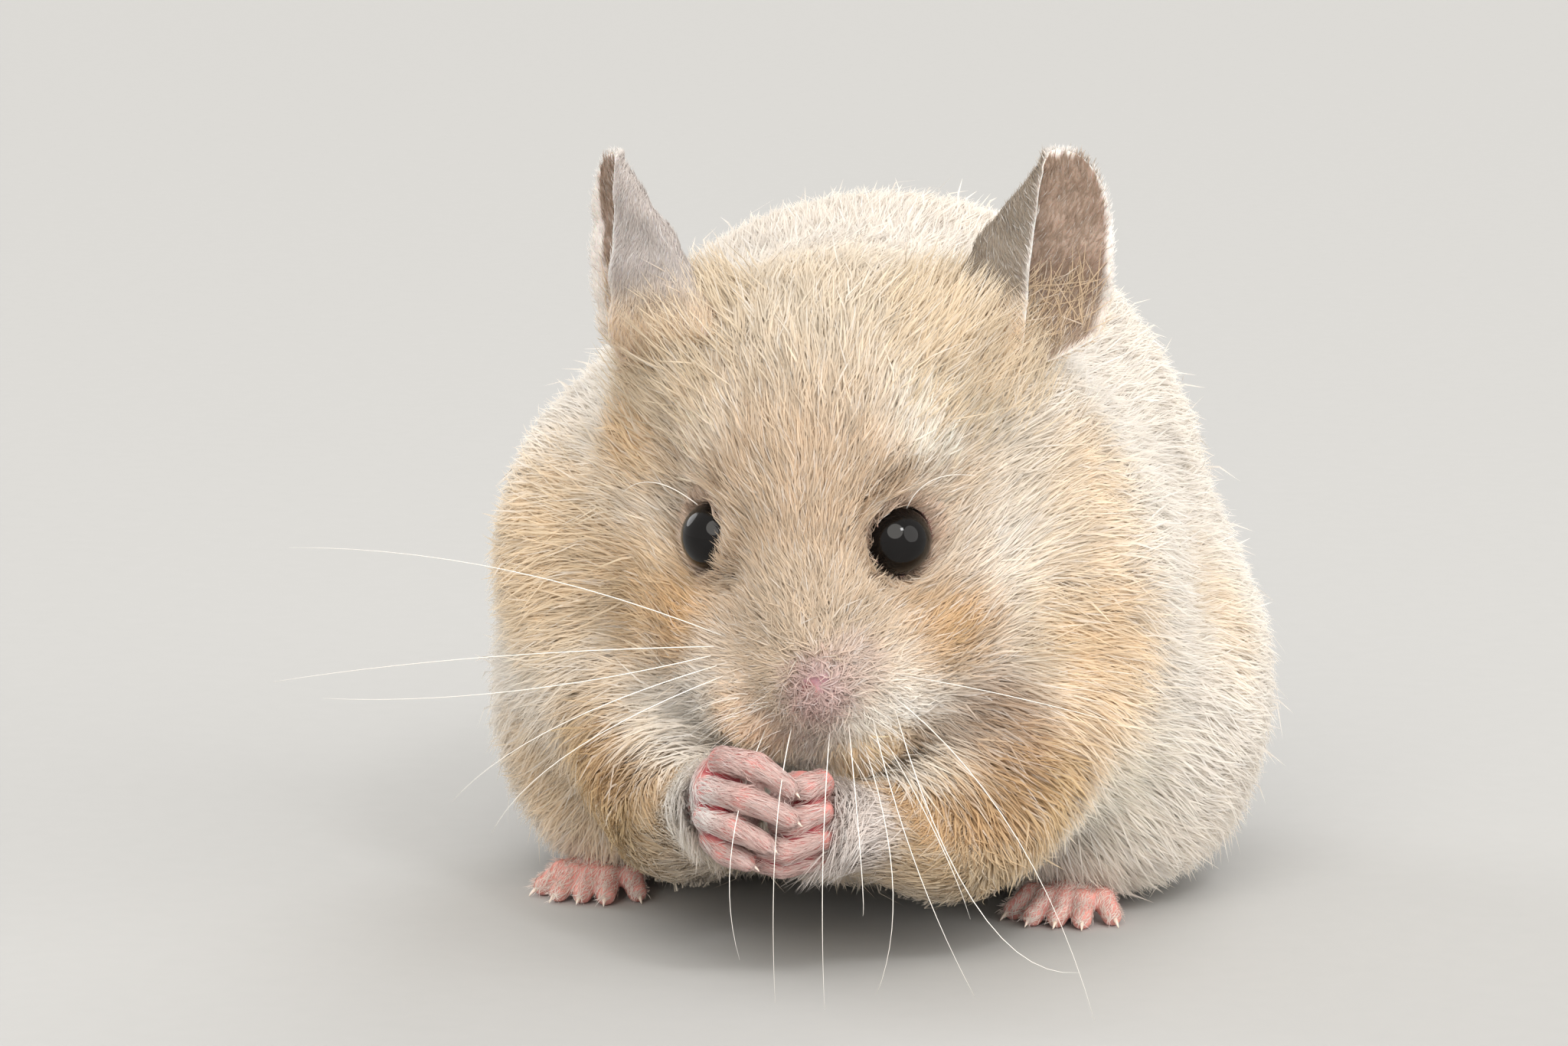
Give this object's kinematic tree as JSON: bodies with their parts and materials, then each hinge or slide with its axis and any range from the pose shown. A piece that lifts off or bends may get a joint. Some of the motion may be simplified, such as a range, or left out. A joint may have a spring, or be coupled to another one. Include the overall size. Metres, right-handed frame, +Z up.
{
  "type": "syrian hamster model",
  "caption": "Life-size still model of a Syrian hamster, sitting hunched with both forepaws held at its mouth.",
  "frame": {"origin": "on the ground, under the middle of the body's outline", "axes": "+Z up, the animal faces -Y, its own left side is +X"},
  "size_m": [0.0802, 0.1036, 0.0782],
  "materials": {
    "body_fur": "soft cream fur",
    "face_fur": "short beige and golden fur",
    "ear_skin": "thin grey-pink skin with sparse hair",
    "paw_skin": "pink skin with short white hair",
    "eye": "wet gloss black"
  },
  "bodies": {
    "root": {"head": "face_fur", "neck": "body_fur", "trunk": "body_fur", "tail": "paw_skin", "ear_left": "ear_skin", "ear_right": "ear_skin", "eye_left": "eye", "eye_right": "eye", "upper_arm_left": "body_fur", "upper_arm_right": "body_fur", "forearm_left": "body_fur", "forearm_right": "body_fur", "forepaw_left": "paw_skin", "forepaw_right": "paw_skin", "thigh_left": "body_fur", "thigh_right": "body_fur", "hind_foot_left": "paw_skin", "hind_foot_right": "paw_skin"}
  },
  "joints": []
}
